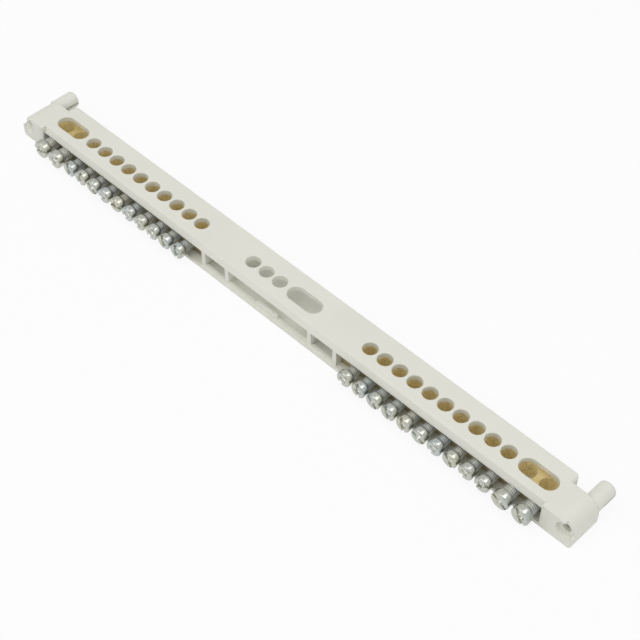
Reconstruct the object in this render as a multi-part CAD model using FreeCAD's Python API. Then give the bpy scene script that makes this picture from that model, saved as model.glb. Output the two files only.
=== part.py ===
import FreeCAD, Part
import math
import os

# Terminal rail: a long moulded housing that carries two brass terminal bars, each with its row of
# clamping screws. Millimetres. X runs along the rail, the screws face the front (-Y), conductors
# enter from above (+Z), and the underside lies at z = 0. x = 0 is the middle of the rail and
# y = 0 is the line of the conductor entries.

V = FreeCAD.Vector

# Terminals and their entries
PITCH = 6.5                 # small terminals, centre to centre
SMALL_COUNT = 10            # small terminals on one bar
LARGE_PITCH = 7.9           # the two large terminals, centre to centre
SMALL_BORE_WALL = 1.2       # brass left between two small conductor bores
LARGE_BORE_WALL = 2.0
ENTRY_MARGIN = 0.05         # how much wider a round entry is than the bore below it, on the radius
SLOT_MARGIN = 0.3           # the same for the long entry over the two large terminals
ENTRY_LAND = 1.85           # between the last round entry and the long one beside it
ENTRY_CHAMFER = 0.2         # lead-in round each entry
SPARE_COUNT = 3             # round entries in the middle, with no terminal below
SPARE_FIRST = -14.4         # place of the first of them

# Terminal bars
BAR_HEIGHT = 6.9
BAR_DEPTH = 9.5             # front to back
BAR_CHAMFER = 0.2
BAR_INNER_LAND = 7.6        # inner end of a bar to its first terminal
BAR_OUTER_LAND = 3.8        # last terminal to the outer end of the bar
BAR_INNER_GAP = 0.3         # between a bar and the cross wall at its inner end
BAR_OUTER_GAP = 0.2         # between a bar and the end wall
BAR_FIT = 0.05              # between a bar and the rim, the floor, the top and the snap noses

# Section of the housing
FRONT = -7.7                # plane of the front openings, the cross walls and the end walls
SILL = 0.7                  # how far the edge of the floor and the lugs stand out from that plane
FLOOR = 1.4
TOP_WALL = 2.1
THREAD_ROOM = 0.25          # between the large screws and the rim over the front openings
RIM_DEPTH = 2.45            # front plane to the back of that rim, where the bars stop
SLANT = 1.2                 # how far the face over the openings leans back on its way to the top
REAR_LAP = 4.3              # how far the top and the floor reach past the back of the bars
RISER = 1.0                 # low step along the front of the floor, in the middle of the rail
RISER_WALL = 1.2
EDGE_ROUND = 0.4            # round on the long edges of the top
CORNER_ROUND = 1.6          # round on the upright rear corners

# Housing, along the rail
MIDDLE_HALF = 19.0          # half of the clear opening in the middle
RIB = 1.8                   # thickness of a cross wall
WINDOW_WIDTH = 9.9          # clear opening between the two cross walls of a window
END_WALL = 1.4
TAB_HALF = 4.7              # half width of the raised tab in the middle of the step
TAB_RISE = 1.3
TAB_LONG_SLOPE = 1.6
TAB_SHORT_SLOPE = 0.4
NOSE_LENGTH = 4.0           # snap noses that hold a bar from behind
NOSE_HEIGHT = 0.7
NOSE_DEPTH = 1.6
NOSE_STATIONS = (1, 4, 8)   # small terminals, counted from the inner end, that have noses behind them

# End lugs
LUG_LENGTH = 12.3           # from the clear opening in front of the bar to the end of the rail
LUG_DEPTH = 13.1            # front to back
LUG_TOP_ROUND = 6.2
LUG_LOW_ROUND = 1.4
FIXING_INSET = 3.4          # end of the rail to the fixing hole
FIXING_DROP = 4.1           # top of the rail to the fixing hole
FIXING_R = 1.6
RECESS_RING = 1.6           # width of the flat ring round the front of the fixing hole
RECESS_DEPTH = 1.6
NOTCH_LENGTH = 3.6          # the outer upper corner of the lug is set back over this length
NOTCH_HEIGHT = 5.5          # and over this height
PEG_WALL = 1.55
PEG_LENGTH = 9.0
PEG_ROUND = 0.9             # round at the tip of the peg
PEG_SLIT = 0.9
PEG_SLIT_LENGTH = 6.5

# Clamping screws, drawn back as delivered
SCREW_LIFT = 0.3            # screw's axis above the middle of the bar
SMALL_HEAD_GAP = 0.7        # between the heads of two small screws
LARGE_HEAD_GAP = 1.1
THREAD_FIT = 0.05           # between a screw and its threaded hole
TIP_GAP = 0.05              # between a screw's tip and the conductor bore
NECK_LENGTH = 0.6           # plain neck below the head
NECK_DROP = 0.4             # how much thinner it is than the thread, on the radius
SMALL_SCREW = {
    "thread_r": 2.0,
    "head_height": 2.5,
    "stand_off": 2.6,       # front plane of the housing to the underside of the head
    "rim": 0.45,
    "slot": 0.9,
    "slot_depth": 1.1,
    "cross": 3.4,
    "cross_wall": 0.8,
    "cross_depth": 1.7,
}
LARGE_SCREW = {
    "thread_r": 2.5,
    "head_height": 2.7,
    "stand_off": 2.9,
    "rim": 0.55,
    "slot": 1.1,
    "slot_depth": 1.3,
    "cross": 4.0,
    "cross_wall": 0.95,
    "cross_depth": 1.9,
}

# Angle of each slot about the screw's axis, in degrees from the rail's length, inner terminal
# first. Each screw stops where its thread happens to end.
LEFT_TURNS = (92, 100, 60, 45, 50, 10, 39, 140, 75, 95, 46, 20)
RIGHT_TURNS = (60, 92, 135, 107, 103, 155, 60, 125, 60, 37, 150, 114)

# Sizes that follow from those above
SMALL_BORE_R = (PITCH - SMALL_BORE_WALL) / 2
LARGE_BORE_R = (LARGE_PITCH - LARGE_BORE_WALL) / 2
SMALL_HEAD_R = (PITCH - SMALL_HEAD_GAP) / 2
LARGE_HEAD_R = (LARGE_PITCH - LARGE_HEAD_GAP) / 2
ENTRY_R = SMALL_BORE_R + ENTRY_MARGIN
SLOT_WIDTH = 2 * (LARGE_BORE_R + SLOT_MARGIN)
SLOT_LENGTH = LARGE_PITCH + SLOT_WIDTH
RECESS_R = FIXING_R + RECESS_RING
PEG_R = FIXING_R + PEG_WALL

# Heights, from the underside
BAR_LOW = FLOOR + BAR_FIT
BAR_TOP = BAR_LOW + BAR_HEIGHT
CEILING = BAR_TOP + BAR_FIT
HEIGHT = CEILING + TOP_WALL
SCREW_Z = BAR_LOW + BAR_HEIGHT / 2 + SCREW_LIFT
OPENING_TOP = SCREW_Z + LARGE_SCREW["thread_r"] + THREAD_ROOM
RISER_TOP = FLOOR + RISER
FIXING_Z = HEIGHT - FIXING_DROP

# Places from front to back
SILL_FRONT = FRONT - SILL
RIM_BACK = FRONT + RIM_DEPTH
BAR_FRONT = RIM_BACK + BAR_FIT
BAR_BACK = BAR_FRONT + BAR_DEPTH
BACK = BAR_BACK + REAR_LAP
LUG_BACK = SILL_FRONT + LUG_DEPTH
PEG_TIP = LUG_BACK + PEG_LENGTH

# Places along the rail, from the middle out
WINDOW_OUTER = MIDDLE_HALF + RIB + WINDOW_WIDTH
BAY_INNER = WINDOW_OUTER + RIB
BAR_INNER = BAY_INNER + BAR_INNER_GAP
SMALL_X = [BAR_INNER + BAR_INNER_LAND + PITCH * i for i in range(SMALL_COUNT)]
SLOT_X = SMALL_X[-1] + ENTRY_R + ENTRY_LAND + SLOT_LENGTH / 2
LARGE_X = [SLOT_X - LARGE_PITCH / 2, SLOT_X + LARGE_PITCH / 2]
BAR_OUTER = LARGE_X[-1] + BAR_OUTER_LAND
BAY_OUTER = BAR_OUTER + BAR_OUTER_GAP
BODY_END = BAY_OUTER + END_WALL
LUG_END = BAY_OUTER + LUG_LENGTH
FIXING_X = LUG_END - FIXING_INSET
SPARE_X = [SPARE_FIRST + PITCH * i for i in range(SPARE_COUNT)]
SPARE_SLOT_X = SPARE_X[-1] + ENTRY_R + ENTRY_LAND + SLOT_LENGTH / 2


def block(x0, x1, y0, y1, z0, z1):
    """A rectangular block between two corners."""
    return Part.makeBox(x1 - x0, y1 - y0, z1 - z0, V(x0, y0, z0))


def prism_x(points, x0, x1):
    """A section of (y, z) points carried along X."""
    wire = Part.makePolygon([V(x0, y, z) for y, z in points + points[:1]])
    return Part.Face(wire).extrude(V(x1 - x0, 0, 0))


def prism_y(points, y0, y1):
    """A section of (x, z) points carried along Y."""
    wire = Part.makePolygon([V(x, y0, z) for x, z in points + points[:1]])
    return Part.Face(wire).extrude(V(0, y1 - y0, 0))


def rod_y(r, y0, y1, x, z):
    """A round rod along Y."""
    return Part.makeCylinder(r, y1 - y0, V(x, y0, z), V(0, 1, 0))


def rod_z(r, z0, z1, x):
    """A round rod along Z on the line of the conductor entries."""
    return Part.makeCylinder(r, z1 - z0, V(x, 0, z0), V(0, 0, 1))


def round_ended(x, length, width, z0, z1):
    """A long round-ended column on the line of the conductor entries."""
    r = width / 2
    a = x - length / 2 + r
    b = x + length / 2 - r
    edges = [
        Part.LineSegment(V(a, -r, z0), V(b, -r, z0)).toShape(),
        Part.Arc(V(b, -r, z0), V(b + r, 0, z0), V(b, r, z0)).toShape(),
        Part.LineSegment(V(b, r, z0), V(a, r, z0)).toShape(),
        Part.Arc(V(a, r, z0), V(a - r, 0, z0), V(a, -r, z0)).toShape(),
    ]
    return Part.Face(Part.Wire(edges)).extrude(V(0, 0, z1 - z0))


def mirrored(shape):
    """The same shape on the other half of the rail."""
    return shape.mirror(V(0, 0, 0), V(1, 0, 0))


def lug():
    """The solid lug at the right-hand end, with its recess, notch, fixing hole and split peg."""
    r = LUG_TOP_ROUND
    q = LUG_LOW_ROUND
    y = SILL_FRONT
    s = math.sqrt(0.5)
    top = V(LUG_END - r + r * s, y, HEIGHT - r + r * s)
    low = V(LUG_END - q + q * s, y, q - q * s)
    edges = [
        Part.LineSegment(V(BAY_OUTER, y, 0), V(LUG_END - q, y, 0)).toShape(),
        Part.Arc(V(LUG_END - q, y, 0), low, V(LUG_END, y, q)).toShape(),
        Part.LineSegment(V(LUG_END, y, q), V(LUG_END, y, HEIGHT - r)).toShape(),
        Part.Arc(V(LUG_END, y, HEIGHT - r), top, V(LUG_END - r, y, HEIGHT)).toShape(),
        Part.LineSegment(V(LUG_END - r, y, HEIGHT), V(BAY_OUTER, y, HEIGHT)).toShape(),
        Part.LineSegment(V(BAY_OUTER, y, HEIGHT), V(BAY_OUTER, y, 0)).toShape(),
    ]
    body = Part.Face(Part.Wire(edges)).extrude(V(0, LUG_BACK - y, 0))

    peg = rod_y(PEG_R, LUG_BACK, PEG_TIP, FIXING_X, FIXING_Z)
    tip = [e for e in peg.Edges if abs(e.BoundBox.YMin - PEG_TIP) < 0.01 and abs(e.BoundBox.YLength) < 0.01]
    peg = peg.makeFillet(PEG_ROUND, tip)
    body = body.fuse(peg)

    floor = y + RECESS_DEPTH
    cuts = [
        rod_y(FIXING_R, y - 1, PEG_TIP + 1, FIXING_X, FIXING_Z),
        rod_y(RECESS_R, y - 1, floor, FIXING_X, FIXING_Z),
        block(LUG_END - NOTCH_LENGTH, LUG_END + 1, y - 1, floor, HEIGHT - NOTCH_HEIGHT, HEIGHT + 1),
        block(FIXING_X - PEG_R - 1, FIXING_X + PEG_R + 1, PEG_TIP - PEG_SLIT_LENGTH, PEG_TIP + 1,
              FIXING_Z - PEG_SLIT / 2, FIXING_Z + PEG_SLIT / 2),
    ]
    return body.cut(cuts)


def bay_noses(x):
    """Two snap noses behind a bar, one under the top and one on the floor, at one station."""
    y0 = BAR_BACK + BAR_FIT
    y1 = y0 + NOSE_DEPTH
    a = x - NOSE_LENGTH / 2
    b = x + NOSE_LENGTH / 2
    upper = prism_x([(y0, CEILING), (y0, CEILING - NOSE_HEIGHT), (y1, CEILING)], a, b)
    lower = prism_x([(y0, FLOOR), (y1, FLOOR), (y0, FLOOR + NOSE_HEIGHT)], a, b)
    return [upper, lower]


def half_interior():
    """The hollows of the right-hand half, open at the front below the rim and at the back."""
    section = [(FRONT - 1, FLOOR), (BACK + 1, FLOOR), (BACK + 1, CEILING), (RIM_BACK, CEILING),
               (RIM_BACK, OPENING_TOP), (FRONT - 1, OPENING_TOP)]
    spans = [(0, MIDDLE_HALF), (MIDDLE_HALF + RIB, WINDOW_OUTER), (BAY_INNER, BAY_OUTER)]
    return [prism_x(section, x0, x1) for x0, x1 in spans]


def entry_cutters():
    """Through cutters for every conductor entry, each with its lead-in at the top."""
    c = ENTRY_CHAMFER
    rounds = [s * x for s in (-1, 1) for x in SMALL_X] + SPARE_X
    cutters = []
    for x in rounds:
        cutters.append(rod_z(ENTRY_R, CEILING - 1, HEIGHT + 1, x))
        cutters.append(Part.makeCone(ENTRY_R, ENTRY_R + 2 * c, 2 * c, V(x, 0, HEIGHT - c), V(0, 0, 1)))
    for x in (-SLOT_X, SPARE_SLOT_X, SLOT_X):
        column = round_ended(x, SLOT_LENGTH, SLOT_WIDTH, CEILING - 1, HEIGHT + c)
        wide = round_ended(x, SLOT_LENGTH + 4 * c, SLOT_WIDTH + 4 * c, HEIGHT - c, HEIGHT + c)
        rim = [e for e in wide.Edges if abs(e.BoundBox.ZMax - (HEIGHT - c)) < 0.01]
        cutters.append(column)
        cutters.append(wide.makeChamfer(2 * c - 0.001, rim))
    return cutters


def housing():
    """The moulded housing in one piece."""
    section = [(FRONT, 0), (BACK, 0), (BACK, HEIGHT), (FRONT + SLANT, HEIGHT), (FRONT, OPENING_TOP)]
    rail = prism_x(section, -BODY_END, BODY_END)
    long_edges = [e for e in rail.Edges
                  if abs(e.BoundBox.ZMin - HEIGHT) < 0.01 and e.BoundBox.XLength > BODY_END]
    rail = rail.makeFillet(EDGE_ROUND, long_edges)
    corners = [e for e in rail.Edges
               if abs(e.BoundBox.YMin - BACK) < EDGE_ROUND and e.BoundBox.ZLength > HEIGHT / 2]
    rail = rail.makeFillet(CORNER_ROUND, corners)
    hollows = half_interior()
    rail = rail.cut(hollows + [mirrored(h) for h in hollows])

    back_of_riser = FRONT + RISER_WALL
    pieces = [
        block(-BODY_END, BODY_END, SILL_FRONT, back_of_riser, 0, FLOOR),
        block(-BAY_INNER, BAY_INNER, FRONT, back_of_riser, 0, RISER_TOP),
    ]
    tab = [(-TAB_HALF - TAB_LONG_SLOPE, RISER_TOP), (-TAB_HALF, RISER_TOP + TAB_RISE),
           (TAB_HALF, RISER_TOP + TAB_RISE), (TAB_HALF + TAB_SHORT_SLOPE, RISER_TOP),
           (TAB_HALF, FLOOR), (-TAB_HALF, FLOOR)]
    pieces.append(prism_y(tab, FRONT, back_of_riser))

    for i in NOSE_STATIONS:
        for nose in bay_noses(SMALL_X[i]):
            pieces += [nose, mirrored(nose)]

    end = lug()
    pieces += [end, mirrored(end)]
    body = rail.fuse(pieces)
    return body.cut(entry_cutters()).removeSplitter()


def terminal_bar(side):
    """A drawn brass bar, drilled from above for conductors and tapped from the front."""
    bar = block(BAR_INNER, BAR_OUTER, BAR_FRONT, BAR_BACK, BAR_LOW, BAR_TOP)
    along = [e for e in bar.Edges if e.BoundBox.XLength > 1]
    bar = bar.makeChamfer(BAR_CHAMFER, along)
    cuts = []
    for places, bore, screw in ((SMALL_X, SMALL_BORE_R, SMALL_SCREW), (LARGE_X, LARGE_BORE_R, LARGE_SCREW)):
        for x in places:
            cuts.append(rod_z(bore, BAR_LOW - 1, BAR_TOP + 1, x))
            cuts.append(rod_y(screw["thread_r"] + THREAD_FIT, BAR_FRONT - 1, 0, x, SCREW_Z))
    bar = bar.cut(cuts)
    return bar if side > 0 else mirrored(bar)


def clamp_screw(x, size, head_r, bore, turn):
    """A cylinder-head screw with a slot through its rim and a cross recess in the middle."""
    seat = FRONT - size["stand_off"]
    front = seat - size["head_height"]
    tip = -(bore + TIP_GAP)
    head = rod_y(head_r, front, seat, 0, 0)
    rim = [e for e in head.Edges if e.BoundBox.YMax < front + 0.01]
    head = head.makeChamfer(size["rim"], rim)
    neck = rod_y(size["thread_r"] - NECK_DROP, seat, seat + NECK_LENGTH, 0, 0)
    thread = rod_y(size["thread_r"], seat + NECK_LENGTH, tip, 0, 0)

    reach = head_r + 1
    half = size["slot"] / 2
    slot = block(-reach, reach, front - 1, front + size["slot_depth"], -half, half)
    w = size["cross"] / 2
    deep = size["cross_depth"]
    t = size["cross_wall"] / 2
    wing = [V(-w - 0.5, front - 1, -t), V(w + 0.5, front - 1, -t), V(w * 0.45, front + deep, -t),
            V(-w * 0.45, front + deep, -t), V(-w - 0.5, front - 1, -t)]
    blade = Part.Face(Part.makePolygon(wing)).extrude(V(0, 0, 2 * t))
    other = blade.copy()
    other.rotate(V(0, 0, 0), V(0, 1, 0), 90)
    screw = head.fuse([neck, thread]).cut([slot, blade, other])
    screw.rotate(V(0, 0, 0), V(0, 1, 0), -turn)
    screw.translate(V(x, 0, SCREW_Z))
    return screw


def save(name, shape):
    """Write one solid to its own file."""
    assert shape.isValid() and len(shape.Solids) == 1, name
    shape.Solids[0].exportStep("parts/" + name + ".step")


def main():
    os.makedirs("parts", exist_ok=True)
    save("housing", housing())
    for name, side, turns in (("left", -1, LEFT_TURNS), ("right", 1, RIGHT_TURNS)):
        save(name + "_terminal_bar", terminal_bar(side))
        for i, x in enumerate(SMALL_X):
            screw = clamp_screw(side * x, SMALL_SCREW, SMALL_HEAD_R, SMALL_BORE_R, turns[i])
            save("%s_small_clamp_screw_%02d" % (name, i + 1), screw)
        for i, x in enumerate(LARGE_X):
            turn = turns[SMALL_COUNT + i]
            screw = clamp_screw(side * x, LARGE_SCREW, LARGE_HEAD_R, LARGE_BORE_R, turn)
            save("%s_large_clamp_screw_%d" % (name, i + 1), screw)


main()
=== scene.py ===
import math

import bmesh
import bpy
import numpy as np
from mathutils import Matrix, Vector


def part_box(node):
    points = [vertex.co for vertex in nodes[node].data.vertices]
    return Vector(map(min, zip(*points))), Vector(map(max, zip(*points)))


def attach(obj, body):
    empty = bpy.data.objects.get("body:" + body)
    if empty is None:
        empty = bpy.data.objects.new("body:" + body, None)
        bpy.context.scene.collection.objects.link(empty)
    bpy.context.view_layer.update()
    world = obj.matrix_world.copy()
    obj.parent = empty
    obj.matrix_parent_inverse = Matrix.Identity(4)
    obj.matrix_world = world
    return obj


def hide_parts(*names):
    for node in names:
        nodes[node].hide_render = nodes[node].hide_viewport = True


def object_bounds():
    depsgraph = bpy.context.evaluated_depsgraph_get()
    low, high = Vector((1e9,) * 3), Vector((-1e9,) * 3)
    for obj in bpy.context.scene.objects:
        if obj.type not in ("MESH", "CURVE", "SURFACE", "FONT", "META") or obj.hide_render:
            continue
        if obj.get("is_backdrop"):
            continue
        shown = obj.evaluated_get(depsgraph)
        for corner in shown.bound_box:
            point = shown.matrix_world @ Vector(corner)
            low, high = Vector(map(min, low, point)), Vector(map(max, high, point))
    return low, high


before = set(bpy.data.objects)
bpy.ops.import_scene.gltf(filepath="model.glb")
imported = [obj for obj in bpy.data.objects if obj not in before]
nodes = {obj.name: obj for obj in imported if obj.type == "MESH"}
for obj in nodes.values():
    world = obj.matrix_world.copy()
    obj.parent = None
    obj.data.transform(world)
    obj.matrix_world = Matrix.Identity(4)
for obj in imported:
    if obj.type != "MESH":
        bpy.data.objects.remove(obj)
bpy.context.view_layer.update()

# Camera: a long lens high in front of the right-hand end, turned so that the rail runs from the
# upper left of the picture to its lower right.
CAMERA_PLACE = (0.24524, -0.24039, 0.38131)
CAMERA_TURN = (41.415, -0.906, 44.475)          # in degrees
CAMERA_LENS = 84.28         # millimetres, as the sensor's width is
SENSOR_WIDTH = 36
NEAREST = 0.01              # nothing closer than this is drawn

lens = bpy.data.cameras.new("camera")
lens.lens = CAMERA_LENS
lens.sensor_width = SENSOR_WIDTH
lens.clip_start = NEAREST
camera = bpy.data.objects.new("camera", lens)
camera.location = CAMERA_PLACE
camera.rotation_euler = [math.radians(a) for a in CAMERA_TURN]
bpy.context.scene.collection.objects.link(camera)
bpy.context.scene.camera = camera
bpy.context.scene.view_settings.view_transform = "Standard"

# Studio: a soft white room, a large soft box high in front of the rail, a low one on the right,
# and a smaller one behind it, which draws the bright streaks on the screws.
ROOM = (0.40, 0.40, 0.397)  # the light that the room throws on the rail
BACKDROP = (0.77, 0.77, 0.77)                   # the room as the camera and bright metal see it
LAMPS = {                   # place, width of the box and power
    "high": ((-0.20, -0.42, 0.95), 1.20, 6.5),
    "right": ((0.90, -0.25, 0.32), 0.80, 1.3),
    "key": ((0.335, 0.250, 0.730), 0.38, 0.78),
}


def background_rays(tree):
    """1 for the rays that show the background: camera, glossy and transmission rays."""
    path = tree.nodes.new("ShaderNodeLightPath")
    share = path.outputs["Is Camera Ray"]
    for kind in ("Is Glossy Ray", "Is Transmission Ray"):
        either = tree.nodes.new("ShaderNodeMath")
        either.operation = "MAXIMUM"
        tree.links.new(share, either.inputs[0])
        tree.links.new(path.outputs[kind], either.inputs[1])
        share = either.outputs[0]
    return share


def exchanged(tree, share, plain, shown, out):
    """Sends the plain shader to the output where share is 0, and the shown one where it is 1."""
    mix = tree.nodes.new("ShaderNodeMixShader")
    tree.links.new(share, mix.inputs[0])
    tree.links.new(plain.outputs[0], mix.inputs[1])
    tree.links.new(shown.outputs[0], mix.inputs[2])
    tree.links.new(mix.outputs[0], out.inputs[0])


world = bpy.data.worlds.new("room")
world.use_nodes = True
bpy.context.scene.world = world
tree = world.node_tree
tree.nodes.clear()
room = tree.nodes.new("ShaderNodeBackground")
room.inputs["Color"].default_value = (*ROOM, 1)
backdrop = tree.nodes.new("ShaderNodeBackground")
backdrop.inputs["Color"].default_value = (*BACKDROP, 1)
out = tree.nodes.new("ShaderNodeOutputWorld")
exchanged(tree, background_rays(tree), room, backdrop, out)

for name, (place, width, power) in LAMPS.items():
    lamp = bpy.data.lights.new(name, "AREA")
    lamp.size = width
    lamp.energy = power
    box = bpy.data.objects.new(name, lamp)
    box.location = place
    box.rotation_euler = (-Vector(place)).to_track_quat("-Z", "Y").to_euler()
    bpy.context.scene.collection.objects.link(box)

# Floor: a plain white table. The camera sees it almost white, and it keeps the rail's soft shadow.
FLOOR_HALF = 3.0
FLOOR_COLOUR = (0.90, 0.90, 0.90)
WHITE = (1, 1, 1)
FLOOR_LIFT = 0.89           # share of plain white in what the camera sees


def sheet_mesh(name, half):
    """A square at z = 0 whose corners are (u, v) times half, for u and v of -1 and 1."""
    u, v = np.meshgrid([-half, half], [-half, half], indexing="ij")
    points = np.stack([u, v, np.zeros_like(u)], -1).reshape(-1, 3)
    mesh = bpy.data.meshes.new(name)
    mesh.from_pydata(points.tolist(), [], [(0, 2, 3, 1)])
    return mesh


floor = bpy.data.objects.new("floor", sheet_mesh("floor", FLOOR_HALF))
bpy.context.scene.collection.objects.link(floor)
paint = bpy.data.materials.new("white_table")
paint.use_nodes = True
tree = paint.node_tree
tree.nodes.clear()
matt = tree.nodes.new("ShaderNodeBsdfDiffuse")
matt.inputs["Color"].default_value = (*FLOOR_COLOUR, 1)
glow = tree.nodes.new("ShaderNodeEmission")
glow.inputs["Color"].default_value = (*WHITE, 1)
lift = tree.nodes.new("ShaderNodeMath")
lift.operation = "MULTIPLY"
lift.inputs[1].default_value = FLOOR_LIFT
tree.links.new(background_rays(tree), lift.inputs[0])
out = tree.nodes.new("ShaderNodeOutputMaterial")
exchanged(tree, lift.outputs[0], matt, glow, out)
floor.data.materials.append(paint)
floor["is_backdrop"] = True

# Housing: one moulding in light grey polyamide, with the fine spark-eroded grain of its mould.
# Its faces are matt, its edges a little polished and paler from handling.
PLASTIC = (0.798, 0.797, 0.720)
PLASTIC_SHADE = (0.778, 0.778, 0.700)
PLASTIC_RUBBED = (0.843, 0.842, 0.772)
PLASTIC_EDGE = 0.00022      # round on its edges
CLOUDS = 70                 # features in a metre: of the faint clouds in its colour,
FLOW_MARKS = 220            # of the flow marks, which are drawn out along the rail,
FLOW_STRETCH = (0.18, 1, 1)
RUBBED_SPOTS = 900          # of the rubbed spots on the edges,
MOULD_GRAIN = 9000          # and of the grain
CLOUD_DEPTH = 0.00003
GRAIN_DEPTH = 0.000018
PLASTIC_ROUGHNESS = (0.44, 0.56)                # between the flow marks and on them
PLASTIC_IOR = 1.5
SCATTER = 0.12              # share of the light that enters the plastic, its colour and reach
SCATTER_COLOUR = (1.0, 0.95, 0.8)
SCATTER_REACH = 0.0006


def new_material(name):
    """A material that is one Principled shader: the material, its node tree and the shader."""
    material = bpy.data.materials.new(name)
    material.use_nodes = True
    tree = material.node_tree
    tree.nodes.clear()
    skin = tree.nodes.new("ShaderNodeBsdfPrincipled")
    out = tree.nodes.new("ShaderNodeOutputMaterial")
    tree.links.new(skin.outputs[0], out.inputs[0])
    return material, tree, skin


def noise(tree, scale, detail=2.0, stretch=None, roughness=0.5):
    """Noise on Object coordinates with features 1/scale metres across, drawn out by stretch. Most
    of its values lie between 0.35 and 0.65."""
    place = tree.nodes.new("ShaderNodeTexCoord")
    grain = tree.nodes.new("ShaderNodeTexNoise")
    grain.inputs["Scale"].default_value = scale
    grain.inputs["Detail"].default_value = detail
    grain.inputs["Roughness"].default_value = roughness
    if stretch:
        turn = tree.nodes.new("ShaderNodeMapping")
        turn.inputs["Scale"].default_value = stretch
        tree.links.new(place.outputs["Object"], turn.inputs["Vector"])
        tree.links.new(turn.outputs["Vector"], grain.inputs["Vector"])
    else:
        tree.links.new(place.outputs["Object"], grain.inputs["Vector"])
    return grain.outputs["Fac"]


def spread(tree, value, low, high, to_low=0.0, to_high=1.0):
    """Carries a value from the range low..high to the range to_low..to_high, clamped."""
    ramp = tree.nodes.new("ShaderNodeMapRange")
    ends = {"From Min": low, "From Max": high, "To Min": to_low, "To Max": to_high}
    for key, number in ends.items():
        ramp.inputs[key].default_value = number
    tree.links.new(value, ramp.inputs["Value"])
    return ramp.outputs["Result"]


def product(tree, first, second):
    """One value times another."""
    times = tree.nodes.new("ShaderNodeMath")
    times.operation = "MULTIPLY"
    tree.links.new(first, times.inputs[0])
    tree.links.new(second, times.inputs[1])
    return times.outputs[0]


def blend(tree, share, first, second):
    """Colour that goes from first to second as share goes from 0 to 1."""
    mix = tree.nodes.new("ShaderNodeMix")
    mix.data_type = "RGBA"
    tree.links.new(share, mix.inputs["Factor"])
    for socket, colour in ((mix.inputs[6], first), (mix.inputs[7], second)):
        if isinstance(colour, tuple):
            socket.default_value = (*colour, 1)
        else:
            tree.links.new(colour, socket)
    return mix.outputs[2]


def rounded(tree, radius):
    """Normal of an edge rounded by radius, and how far the surface lies on such an edge: 0 where
    the rounded normal is the flat one, and 1 where the cosine between them is 0.85 or less."""
    soft = tree.nodes.new("ShaderNodeBevel")
    soft.samples = 6
    soft.inputs["Radius"].default_value = radius
    flat = tree.nodes.new("ShaderNodeNewGeometry")
    dot = tree.nodes.new("ShaderNodeVectorMath")
    dot.operation = "DOT_PRODUCT"
    tree.links.new(soft.outputs["Normal"], dot.inputs[0])
    tree.links.new(flat.outputs["Normal"], dot.inputs[1])
    return soft.outputs["Normal"], spread(tree, dot.outputs["Value"], 1.0, 0.85)


def bump(tree, height, depth, normal, strength=1.0):
    """Normal of a relief of that depth in metres, laid over another normal."""
    relief = tree.nodes.new("ShaderNodeBump")
    relief.inputs["Strength"].default_value = strength
    relief.inputs["Distance"].default_value = depth
    tree.links.new(height, relief.inputs["Height"])
    if normal is not None:
        tree.links.new(normal, relief.inputs["Normal"])
    return relief.outputs["Normal"]


plastic, tree, skin = new_material("grey_polyamide")
edge_normal, edge = rounded(tree, PLASTIC_EDGE)
cloud = spread(tree, noise(tree, CLOUDS, detail=3.0), 0.35, 0.65)
flow = spread(tree, noise(tree, FLOW_MARKS, detail=4.0, stretch=FLOW_STRETCH), 0.4, 0.62)
spots = spread(tree, noise(tree, RUBBED_SPOTS, detail=3.0), 0.38, 0.6, 0.25, 1.0)
body_colour = blend(tree, cloud, PLASTIC, PLASTIC_SHADE)
rubbed = product(tree, edge, spots)
tree.links.new(blend(tree, rubbed, body_colour, PLASTIC_RUBBED), skin.inputs["Base Color"])
tree.links.new(spread(tree, flow, 0.0, 1.0, *PLASTIC_ROUGHNESS), skin.inputs["Roughness"])
grain = bump(tree, noise(tree, MOULD_GRAIN), GRAIN_DEPTH, edge_normal, strength=0.6)
tree.links.new(bump(tree, cloud, CLOUD_DEPTH, grain, strength=0.5), skin.inputs["Normal"])
skin.inputs["Subsurface Weight"].default_value = SCATTER
skin.inputs["Subsurface Radius"].default_value = SCATTER_COLOUR
skin.inputs["Subsurface Scale"].default_value = SCATTER_REACH
skin.inputs["IOR"].default_value = PLASTIC_IOR
nodes["housing"].data.materials.clear()
nodes["housing"].data.materials.append(plastic)

# Terminal bars: drawn brass, so fine lines run along them. The conductor bores are drilled: their walls are
# rough with the drill's rings, so they scatter the light that falls in from above.
# Their walls are fresh drilled brass, and far paler still as painted light against the shade in the bores.
BRASS = (0.610, 0.475, 0.205)
BRASS_BRIGHT = (0.700, 0.570, 0.290)
BRASS_BROWN = (0.450, 0.325, 0.130)
BRASS_SIDE_SHADE = (0.400, 0.350, 0.235)              # painted shade on the long sides, which lie behind the screws and under the lip
# painted light: the bore walls, far paler than the brass outside, and their darker mottle
BRASS_BORE_LIT = (0.965, 0.872, 0.550)
BRASS_BORE_LIT_BROWN = (0.800, 0.650, 0.340)
BORE_REACH = 0.0031         # the bores lie within this distance of the line of the entries
BAR_EDGE = 0.00012          # round on the bars' edges
DRAWN_LINES = (60, 5200, 5200)                  # features in a metre, along the bar and across it
TARNISH = 260               # features in a metre of the tarnish, and of the swarf in the bores
SWARF = 1300
RING_PITCH = 0.001208       # from one drill ring to the next
WAVE_TURN = 20              # radians that the wave texture runs through in a unit
LINE_DEPTH = 0.00002
RING_DEPTH = 0.00003
BRASS_ROUGHNESS = (0.38, 0.52)                  # where it is bright and where it is tarnished
BORE_ROUGHNESS = 0.58
BORE_METAL = 0.55           # how metallic the scattering walls of the bores still are


def part_of(tree, vector, axis):
    """The size of one component of a vector, without its sign."""
    split = tree.nodes.new("ShaderNodeSeparateXYZ")
    tree.links.new(vector, split.inputs[0])
    size = tree.nodes.new("ShaderNodeMath")
    size.operation = "ABSOLUTE"
    tree.links.new(split.outputs[axis], size.inputs[0])
    return size.outputs[0]


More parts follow.
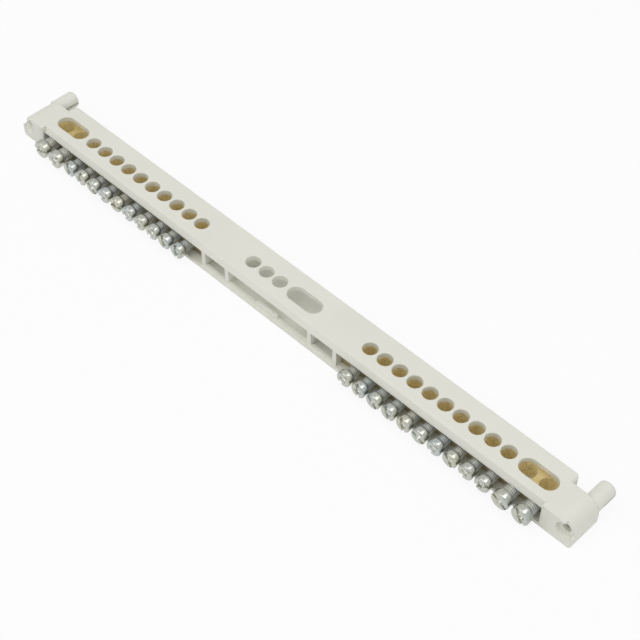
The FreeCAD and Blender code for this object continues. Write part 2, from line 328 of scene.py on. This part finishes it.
brass, tree, skin = new_material("drawn_brass")
place = tree.nodes.new("ShaderNodeTexCoord").outputs["Object"]
facing = tree.nodes.new("ShaderNodeNewGeometry").outputs["Normal"]
near = spread(tree, part_of(tree, place, "Y"), BORE_REACH, BORE_REACH * 1.02, 1.0, 0.0)
upright = spread(tree, part_of(tree, facing, "Z"), 0.3, 0.5, 1.0, 0.0)
drilled = product(tree, near, upright)
# The long sides away from the bores take a darker brown: painted shade.
facing_out = spread(tree, part_of(tree, facing, "Y"), 0.5, 0.9, 0.0, 0.85)
shaded_long_side = product(tree, facing_out, spread(tree, near, 0.0, 1.0, 1.0, 0.0))
edge_normal, edge = rounded(tree, BAR_EDGE)
drawn = noise(tree, 1.0, detail=3.0, stretch=DRAWN_LINES)
tarnish = spread(tree, noise(tree, TARNISH, detail=5.0), 0.42, 0.7, 0.0, 0.7)
swarf = spread(tree, noise(tree, SWARF, detail=3.0, roughness=0.6), 0.40, 0.62)
metal = blend(tree, spread(tree, drawn, 0.35, 0.65), BRASS, BRASS_BRIGHT)
metal = blend(tree, edge, metal, BRASS_BRIGHT)
metal = blend(tree, tarnish, metal, BRASS_BROWN)
metal = blend(tree, shaded_long_side, metal, BRASS_SIDE_SHADE)
# Bore walls: painted light, paler than any brass, mottled by the swarf.
wall = blend(tree, swarf, BRASS_BORE_LIT, BRASS_BORE_LIT_BROWN)
tree.links.new(blend(tree, drilled, metal, wall), skin.inputs["Base Color"])
rings = tree.nodes.new("ShaderNodeTexWave")
rings.bands_direction = "Z"
rings.inputs["Scale"].default_value = 2 * math.pi / RING_PITCH / WAVE_TURN
rings.inputs["Distortion"].default_value = 0.6
tree.links.new(place, rings.inputs["Vector"])
relief = bump(tree, drawn, LINE_DEPTH, edge_normal, strength=0.5)
relief = bump(tree, rings.outputs["Fac"], RING_DEPTH, relief, strength=0.6)
tree.links.new(relief, skin.inputs["Normal"])
outside = spread(tree, tarnish, 0.0, 0.7, *BRASS_ROUGHNESS)
tree.links.new(blend(tree, drilled, outside, (BORE_ROUGHNESS,) * 3), skin.inputs["Roughness"])
tree.links.new(spread(tree, drilled, 0.0, 1.0, 1.0, BORE_METAL), skin.inputs["Metallic"])
for name in ("left_terminal_bar", "right_terminal_bar"):
    nodes[name].data.materials.clear()
    nodes[name].data.materials.append(brass)

# Clamping screws: cold-headed steel with rolled threads, zinc-plated with a faint blue passivation.
# Each head has a slot right across it and a cross recess. The screws stand drawn back, as
# delivered. Those of one kind are turned copies of one pattern.
SMALL = {
    "head_height": 0.0025,
    "rim": 0.0004,          # round between the face of the head and its side
    "neck": 0.0009,         # plain length between head and thread
    "thread_r": 0.0020,
    "thread_depth": 0.00034,
    "pitch": 0.0007,
    "lit": 0.25,            # how bright the roots of the thread are beside its crests
    "slot": 0.0012,
    "slot_depth": 0.0008,
    "cross": 0.0033,
    "cross_wall": 0.0010,   # width of the cross's blades
    "cross_depth": 0.0013,
}
LARGE = {
    "head_height": 0.0027,
    "rim": 0.0003,
    "neck": 0.0003,
    "thread_r": 0.0025,
    "thread_depth": 0.00040,
    "pitch": 0.0008,
    "lit": 0.82,
    "slot": 0.0012,
    "slot_depth": 0.0006,
    "cross": 0.0038,
    "cross_wall": 0.0011,
    "cross_depth": 0.0014,
}
TURNS = {                   # degrees for the small and the large ones, from the middle outwards
    "left": ((92, 100, 60, 45, 50, 10, 39, 140, 75, 95), (46, 20)),
    "right": ((60, 92, 135, 107, 103, 155, 60, 125, 60, 37), (150, 114)),
}
SIDES = 48                  # faces round a screw
SEAT_ROUND = 0.0002         # small round under the head
CROWN = 0.00006             # how far the side of the head swells between rim and seat
TIP_CONE = 0.0004           # length over which the thread fades out at the tip
THREAD_SHAPE = (0.0, 0.35, 0.85, 1.0, 1.0, 1.0, 0.85, 0.35)     # height through one pitch
SOFTENED = 0.00006          # width of the softened edges of slot and cross
CLEAR = 0.001               # how far the tools that strike them reach past the blank
FLARE = 0.0005              # how much wider the cross is there, each way
TAPER = 0.45                # length of the cross's floor as a share of its own
STRUCK_BELOW = 0.0001       # what lies deeper than this in the blank was struck
WELD = 2e-7                 # points closer than this are one point
JOINT = 1e-6                # and so they are where head and thread meet

ZINC = (0.492, 0.525, 0.508)
ZINC_WARM = (0.545, 0.541, 0.462)
ZINC_DIM = (0.100, 0.100, 0.085)                # where hardly any light comes in
ZINC_RECESS_LIT = (0.800, 0.795, 0.735)             # painted light on the walls of slot and cross; their floors take the next colour
# painted shade on the floors of slot and cross, which face out along the axis
ZINC_RECESS_SHADE = (0.430, 0.430, 0.375)
TINTS = (130, 0, 0)         # the tint changes along the rail only, from screw to screw
PATCHES = 1500              # features in a metre of its roughness, and of its grain
PLATING_GRAIN = 3500
PLATING_DEPTH = 0.00002
HEAD_ROUGHNESS = (0.18, 0.32)
SHANK_ROUGHNESS = 0.42      # of neck and thread
SHANK_METAL = 0.5           # the threads are dull with grease and dust, so they shine less
NECK_LIT = 0.28             # how bright the neck is beside the head
RIM_SHADE_LINE = 0.30              # painted shade: how much darker a line across the rim is
UNDER_SHADE = 0.20            # and painted shade: how much darker the underside of the shank is
UNDER_FROM = 0.6            # that starts where the way out from the axis leads up less than this


def faced_out(mesh):
    """Points that coincide become one, faces of no area go, and the others face outwards."""
    work = bmesh.new()
    work.from_mesh(mesh)
    bmesh.ops.remove_doubles(work, verts=work.verts, dist=WELD)
    bmesh.ops.dissolve_degenerate(work, dist=WELD, edges=work.edges)
    bmesh.ops.recalc_face_normals(work, faces=work.faces)
    work.to_mesh(mesh)
    work.free()
    return mesh


def grid_mesh(name, points):
    """Quads over a grid of points, each between rows i and i + 1 and columns j and j + 1."""
    rows, columns = points.shape[:2]
    index = np.arange(rows * columns).reshape(rows, columns)
    corners = [index[:-1, :-1], index[1:, :-1], index[1:, 1:], index[:-1, 1:]]
    mesh = bpy.data.meshes.new(name)
    mesh.from_pydata(points.reshape(-1, 3).tolist(), [], np.stack(corners, -1).reshape(-1, 4).tolist())
    return faced_out(mesh)


def turned(profile):
    """Ring of each profile point (y, r): (r cos a, y, r sin a) for a round the circle."""
    a = np.linspace(0, 2 * math.pi, SIDES + 1)
    y, r = np.array(profile).T
    along = np.repeat(y[:, None], SIDES + 1, 1)
    return np.stack([np.outer(r, np.cos(a)), along, np.outer(r, np.sin(a))], -1)


def head_blank(front, size):
    """Head and neck, before the recess is struck: flat face, rim as a quarter round, a side
    that swells as 1 - u squared for u of -1 to 1 between rim and seat, small round at the seat,
    underside and neck, ended by a flat."""
    rim = size["rim"]
    seat = front + size["head_height"]
    neck_end = seat + size["neck"]
    neck_r = size["thread_r"] - size["thread_depth"]
    edge_r = size["head_r"] - CROWN
    face = [(front, r) for r in np.linspace(0, size["head_r"] - rim, 4)[:-1]]
    t = np.linspace(0, math.pi / 2, 7)
    quarter = np.stack([front + rim - rim * np.cos(t), edge_r - rim + rim * np.sin(t)], 1)
    u = np.linspace(-1, 1, 7)[1:-1]
    side_y = front + rim + (seat - SEAT_ROUND - front - rim) * (u + 1) / 2
    side = np.stack([side_y, edge_r + CROWN * (1 - u ** 2)], 1)
    s = np.linspace(0, math.pi / 2, 4)
    lower_y = seat - SEAT_ROUND + SEAT_ROUND * np.sin(s)
    lower = np.stack([lower_y, edge_r - SEAT_ROUND + SEAT_ROUND * np.cos(s)], 1)
    neck = [(seat, neck_r + SEAT_ROUND), (seat + SEAT_ROUND / 2, neck_r), (neck_end, neck_r), (neck_end, 0)]
    return grid_mesh("head", turned(np.concatenate([face, quarter, side, lower, neck])))


def prism(name, outline, width, axis):
    """A closed prism: an outline of (u, y) points carried along the axis, half the width each way."""
    u, y = np.array(outline).T
    ends = []
    for w in (-width / 2, width / 2):
        side = np.full_like(u, w)
        ends.append(np.stack([u, y, side] if axis == "z" else [side, y, u], 1))
    n = len(outline)
    faces = [tuple(range(n)), tuple(range(2 * n - 1, n - 1, -1))]
    faces += [(i, n + i, n + (i + 1) % n, (i + 1) % n) for i in range(n)]
    mesh = bpy.data.meshes.new(name)
    mesh.from_pydata(np.concatenate(ends).tolist(), [], faces)
    return faced_out(mesh)


def struck_head(front, size):
    """The blank less a slot right across it and the two tapered blades of the cross recess, with the
    edges softened."""
    blank = bpy.data.objects.new("blank", head_blank(front, size))
    bpy.context.scene.collection.objects.link(blank)
    reach = size["head_r"] + CLEAR
    above = front - CLEAR
    floor_y = front + size["slot_depth"]
    slot = [(-reach, above), (reach, above), (reach, floor_y), (-reach, floor_y)]
    half = size["cross"] / 2
    deep = front + size["cross_depth"]
    blade = [(-half - FLARE, above), (half + FLARE, above), (TAPER * half, deep), (-TAPER * half, deep)]
    tools = []
    for mesh in (
        prism("slot", slot, size["slot"], "z"),
        prism("blade", blade, size["cross_wall"], "z"),
        prism("blade", blade, size["cross_wall"], "x"),
    ):
        tool = bpy.data.objects.new("tool", mesh)
        bpy.context.scene.collection.objects.link(tool)
        cut = blank.modifiers.new("strike", "BOOLEAN")
        cut.operation = "DIFFERENCE"
        cut.solver = "EXACT"
        cut.object = tool
        tools.append(tool)
    soft = blank.modifiers.new("soften", "BEVEL")
    soft.width = SOFTENED
    soft.segments = 2
    soft.limit_method = "ANGLE"
    soft.angle_limit = math.radians(38)
    bpy.context.view_layer.update()
    mesh = bpy.data.meshes.new_from_object(blank.evaluated_get(bpy.context.evaluated_depsgraph_get()))
    for spare in tools + [blank]:
        bpy.data.objects.remove(spare)
    return mesh


def rolled_thread(start, tip, size):
    """The thread's rows follow the helix: row k of n in a pitch lies, at angle a, at
    y = pitch (k / n + a / full turn) past the start, held between start and tip. Its radius goes
    from root to crest and back once a pitch. The crest fades in over half a pitch at the start and
    out over the cone at the tip, which a flat closes."""
    pitch = size["pitch"]
    root = size["thread_r"] - size["thread_depth"]
    n = len(THREAD_SHAPE)
    rows = np.arange(-2 * n, math.ceil((tip - start) / pitch + 1) * n)
    a = np.linspace(0, 2 * math.pi, SIDES + 1)
    y = np.clip(start + pitch * (rows[:, None] / n + a[None, :] / (2 * math.pi)), start, tip)
    height = np.array(THREAD_SHAPE)[rows % n][:, None]
    fade = np.clip((y - start) / (pitch / 2), 0, 1) * np.clip((tip - y) / TIP_CONE, 0, 1)
    r = root + size["thread_depth"] * height * fade
    skin = np.stack([r * np.cos(a), y, r * np.sin(a)], -1)
    end = np.array([0, tip, 0]) * np.ones((1, SIDES + 1, 1))
    return grid_mesh("thread", np.concatenate([skin, end]))


def whole_screw(front, tip, size):
    """Head and thread, welded on the ring where the neck ends."""
    neck_end = front + size["head_height"] + size["neck"]
    work = bmesh.new()
    work.from_mesh(struck_head(front, size))
    cap = [f for f in work.faces if f.calc_center_median().y > neck_end - JOINT]
    bmesh.ops.delete(work, geom=cap, context="FACES")
    work.from_mesh(rolled_thread(neck_end, tip, size))
    bmesh.ops.remove_doubles(work, verts=work.verts, dist=JOINT)
    bmesh.ops.recalc_face_normals(work, faces=work.faces)
    mesh = bpy.data.meshes.new("screw")
    work.to_mesh(mesh)
    work.free()
    return mesh


def attribute(tree, name):
    """The value that each point of a mesh carries under that name."""
    carried = tree.nodes.new("ShaderNodeAttribute")
    carried.attribute_name = name
    return carried.outputs["Fac"]


zinc, tree, skin = new_material("zinc_plated_steel")
shank = attribute(tree, "shank")
tint = spread(tree, noise(tree, 1.0, detail=0.0, stretch=TINTS), 0.35, 0.65)
patch = spread(tree, noise(tree, PATCHES, detail=4.0), 0.35, 0.7)
facing = tree.nodes.new("ShaderNodeNewGeometry").outputs["Normal"]
level = spread(tree, part_of(tree, facing, "Y"), 0.75, 0.95)
# The recess of each head: painted light on its walls, painted shade on its floors.
recess = blend(tree, level, ZINC_RECESS_LIT, ZINC_RECESS_SHADE)
plated = blend(tree, attribute(tree, "struck"), blend(tree, tint, ZINC, ZINC_WARM), recess)
lit = blend(tree, attribute(tree, "open"), ZINC_DIM, plated)
tree.links.new(lit, skin.inputs["Base Color"])
roughness = spread(tree, patch, 0.0, 1.0, *HEAD_ROUGHNESS)
tree.links.new(blend(tree, shank, roughness, (SHANK_ROUGHNESS,) * 3), skin.inputs["Roughness"])
tree.links.new(spread(tree, shank, 0.0, 1.0, 1.0, SHANK_METAL), skin.inputs["Metallic"])
fine = bump(tree, noise(tree, PLATING_GRAIN, detail=3.0), PLATING_DEPTH, None, strength=0.25)
tree.links.new(fine, skin.inputs["Normal"])


def rim_share(r, size):
    """How far out a radius lies on the rim, from 0 at its inner edge to 1 at the head's radius."""
    return np.clip((r - size["head_r"] + size["rim"]) / size["rim"], 0, 1)


def struck_in(r, y, front, size):
    """1 on the walls and floors of slot and cross: what lies well inside the blank,
    whose face falls back by the rim times its share squared, and 0 elsewhere."""
    seat = front + size["head_height"]
    deep = y > front + STRUCK_BELOW + size["rim"] * rim_share(r, size) ** 2
    inside = r < size["head_r"] - STRUCK_BELOW
    return (deep & inside & (y < seat - SEAT_ROUND)).astype(float)


def openness(r, y, upward, front, size):
    """How much light comes in, from 0 to 1. The head has 1, less a line of 4 u (1 - u) across the
    share u of its rim, and the neck is dim. On the thread it goes from the roots' light to 1 with
    the height of the crest. The underside of the shank loses a share of it, the more the less a
    point lies upward of the axis."""
    seat = front + size["head_height"]
    u = rim_share(r, size)
    line = 4 * u * (1 - u) * (y < front + size["rim"])
    crest = np.clip((r - size["thread_r"] + size["thread_depth"]) / size["thread_depth"], 0, 1)
    threaded = y > seat + size["neck"] + JOINT
    behind = np.where(threaded, size["lit"] + (1 - size["lit"]) * crest, NECK_LIT)
    # The rim carries a painted line of shade.
    bright = np.where(y > seat - SEAT_ROUND / 2, behind, 1 - RIM_SHADE_LINE * line)
    # Painted shade on the underside of the shank.
    under = UNDER_SHADE * np.clip(1 - upward / UNDER_FROM, 0, 1)
    return np.where(y > seat, bright * (1 - under), bright)


def place_screw(node, pattern, angle, size):
    """A copy of the pattern screw turned about its axis to (x cos a - z sin a, y,
    x sin a + z cos a), and set where the node is."""
    low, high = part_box(node)
    mesh = pattern.copy()
    points = np.zeros(len(mesh.vertices) * 3)
    mesh.vertices.foreach_get("co", points)
    x, y, z = points.reshape(-1, 3).T
    c, s = math.cos(math.radians(angle)), math.sin(math.radians(angle))
    across, up = x * c - z * s, x * s + z * c
    r = np.hypot(x, z)
    moved = np.stack([across + (low.x + high.x) / 2, y, up + (low.z + high.z) / 2], 1)
    mesh.vertices.foreach_set("co", moved.ravel())
    carried = {
        "open": openness(r, y, up / np.maximum(r, JOINT), low.y, size),
        "shank": (y > low.y + size["head_height"]).astype(float),
        "struck": struck_in(r, y, low.y, size),
    }
    for name, values in carried.items():
        mesh.attributes.new(name, "FLOAT", "POINT").data.foreach_set("value", values)
    mesh.polygons.foreach_set("use_smooth", np.ones(len(mesh.polygons), bool))
    mesh.set_sharp_from_angle(angle=math.radians(40))
    mesh.materials.clear()
    mesh.materials.append(zinc)
    screw = bpy.data.objects.new("plated_" + node, mesh)
    mesh.name = screw.name
    bpy.context.scene.collection.objects.link(screw)
    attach(screw, "root")
    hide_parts(node)


kinds = []
for name, size in (("small_clamp_screw_%02d", SMALL), ("large_clamp_screw_%d", LARGE)):
    low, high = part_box("left_" + name % 1)
    size = dict(size, head_r=(high.z - low.z) / 2)
    kinds.append((name, size, whole_screw(low.y, high.y, size)))
for side, turns in TURNS.items():
    for (name, size, pattern), angles in zip(kinds, turns):
        for number, angle in enumerate(angles, 1):
            place_screw("%s_%s" % (side, name % number), pattern, angle, size)

# The size of the part as it is shown.
low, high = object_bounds()
